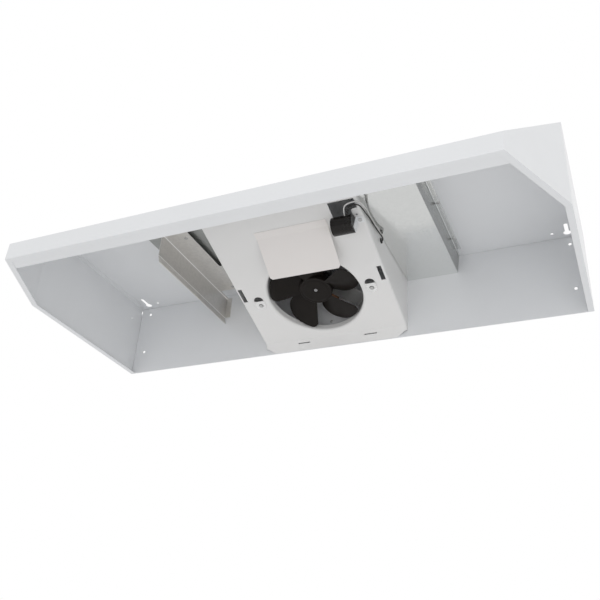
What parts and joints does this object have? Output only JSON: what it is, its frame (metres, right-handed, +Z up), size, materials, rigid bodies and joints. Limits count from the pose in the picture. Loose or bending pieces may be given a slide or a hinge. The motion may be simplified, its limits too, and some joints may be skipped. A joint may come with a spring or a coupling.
{
  "type": "range hood",
  "caption": "Wide under-cabinet range hood in bent sheet steel, open underneath, with a sloped fan chamber, lamp socket, wiring box and mitred front corners.",
  "frame": {"origin": "middle of the rim's plane, halfway across and halfway from front to back", "axes": "+X along the hood's width to its right side, +Y from its front to its back, +Z up to the cabinet"},
  "size_m": [0.9112, 0.4444, 0.1524],
  "materials": {
    "canopy": "smooth white enamel",
    "plenum": "smooth white enamel",
    "shield": "smooth white enamel",
    "zinc": "galvanised, satin",
    "spring_steel": "bright",
    "fastener": "zinc plated",
    "black_plastic": "moulded, satin",
    "socket": "moulded phenolic, semi-gloss",
    "liner": "drawn, bright",
    "iron": "oiled laminations",
    "rotor": "die-cast end rings on laminations",
    "winding": "varnished winding with tape",
    "bearing": "sintered bronze",
    "shaft": "ground",
    "white_plastic": "moulded",
    "lead_black": "PVC sleeve",
    "lead_white": "PVC sleeve",
    "rubber": "moulded",
    "port": "dark galvanised"
  },
  "bodies": {
    "hood": {"canopy_wrap": "canopy", "end_panel_right": "canopy", "end_panel_left": "canopy", "back_panel": "canopy", "front_rail": "canopy", "fan_plenum": "plenum", "clip_rivets": "fastener", "motor_stator": "iron", "motor_coil": "winding", "bearing_plate_lower": "rotor", "bearing_plate_upper": "rotor", "sleeve_bearings": "bearing", "motor_spacers": "fastener", "motor_strap": "zinc", "motor_bolts": "fastener", "motor_nuts": "fastener", "lamp_shield": "shield", "lamp_socket": "socket", "lamp_socket_liner": "liner", "lamp_contact": "liner", "lamp_bracket": "zinc", "lamp_rivet": "fastener", "lamp_lead_black": "lead_black", "lamp_lead_white": "lead_white", "wire_grommet": "rubber", "wire_connectors": "black_plastic", "wiring_box_cover": "zinc", "box_screws": "fastener", "side_channel": "zinc", "port_plate": "port", "channel_spacers": "fastener", "channel_screws": "fastener", "fan_switch": "black_plastic", "light_switch": "black_plastic"},
    "fan": {"fan_blade": "black_plastic", "motor_shaft": "shaft", "motor_rotor": "rotor"},
    "clip_right": {"filter_clip_right": "spring_steel"},
    "clip_left": {"filter_clip_left": "spring_steel"},
    "fan_rocker": {"fan_rocker": "white_plastic"},
    "light_rocker": {"light_rocker": "white_plastic"}
  },
  "joints": [
    {"name": "fan_spin", "type": "hinge", "parent": "hood", "child": "fan", "pos_m": [0, 0.11553, 0.05058], "axis": [0, 0.3163, 0.9487], "continuous": true},
    {"name": "clip_right_turn", "type": "hinge", "parent": "hood", "child": "clip_right", "pos_m": [0.107, 0.11828, 0.04967], "axis": [0, 0.3163, 0.9487], "range_deg": [-90, 90]},
    {"name": "clip_left_turn", "type": "hinge", "parent": "hood", "child": "clip_left", "pos_m": [-0.107, 0.11828, 0.04967], "axis": [0, 0.3163, 0.9487], "range_deg": [-90, 90]},
    {"name": "fan_rocker_tilt", "type": "hinge", "parent": "hood", "child": "fan_rocker", "pos_m": [0.168, -0.09404, 0.136], "axis": [1, 0, 0], "range_deg": [-8, 8]},
    {"name": "light_rocker_tilt", "type": "hinge", "parent": "hood", "child": "light_rocker", "pos_m": [0.21, -0.09404, 0.136], "axis": [1, 0, 0], "range_deg": [-8, 8]}
  ]
}
